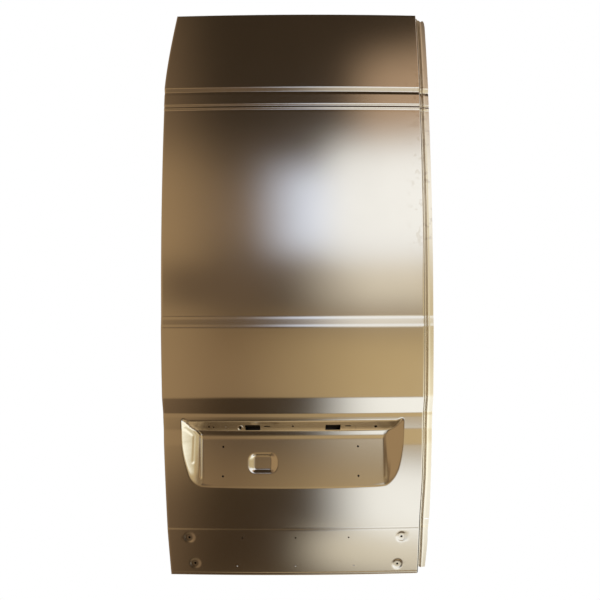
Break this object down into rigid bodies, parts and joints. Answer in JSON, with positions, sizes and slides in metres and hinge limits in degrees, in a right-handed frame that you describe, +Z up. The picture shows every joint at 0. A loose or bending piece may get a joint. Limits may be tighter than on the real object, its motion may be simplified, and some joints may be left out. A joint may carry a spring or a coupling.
{
  "type": "campervan rear barn door leaf",
  "caption": "Bare pressed-steel left leaf of a pair of van rear barn doors, with a number plate recess, window blank, inner panel and closing flange",
  "frame": {"origin": "centre of the lower hinge face, on the hinge-side wall of the inner panel", "axes": "+X from the hinge edge to the meeting edge, +Y into the vehicle, +Z up; the outer skin faces -Y"},
  "size_m": [0.834, 0.1641, 1.808],
  "materials": {
    "skin": "satin bare steel with a thin warm-tinted oil film",
    "inner": "satin bare steel, a little darker",
    "mastic": "matt black anti-flutter mastic"
  },
  "bodies": {
    "root": {"outer_skin": "skin", "inner_panel_top": "inner", "inner_panel_middle": "inner", "inner_panel_lower": "inner", "closing_flange": "skin", "hinge_side_stiffener": "inner", "hinge_reinforcement_lower": "inner", "hinge_reinforcement_upper": "inner", "hinge_nut_plate_lower": "inner", "hinge_nut_plate_upper": "inner", "check_strap_reinforcement": "inner", "striker_reinforcement": "inner", "latch_reinforcement_top": "inner", "latch_reinforcement_bottom": "inner", "release_handle_reinforcement": "inner", "top_brace": "inner", "window_brace": "inner", "waist_brace": "inner", "lower_brace": "inner", "top_brace_mastic": "mastic", "window_brace_mastic": "mastic", "waist_brace_mastic": "mastic", "lower_brace_mastic": "mastic"}
  },
  "joints": []
}
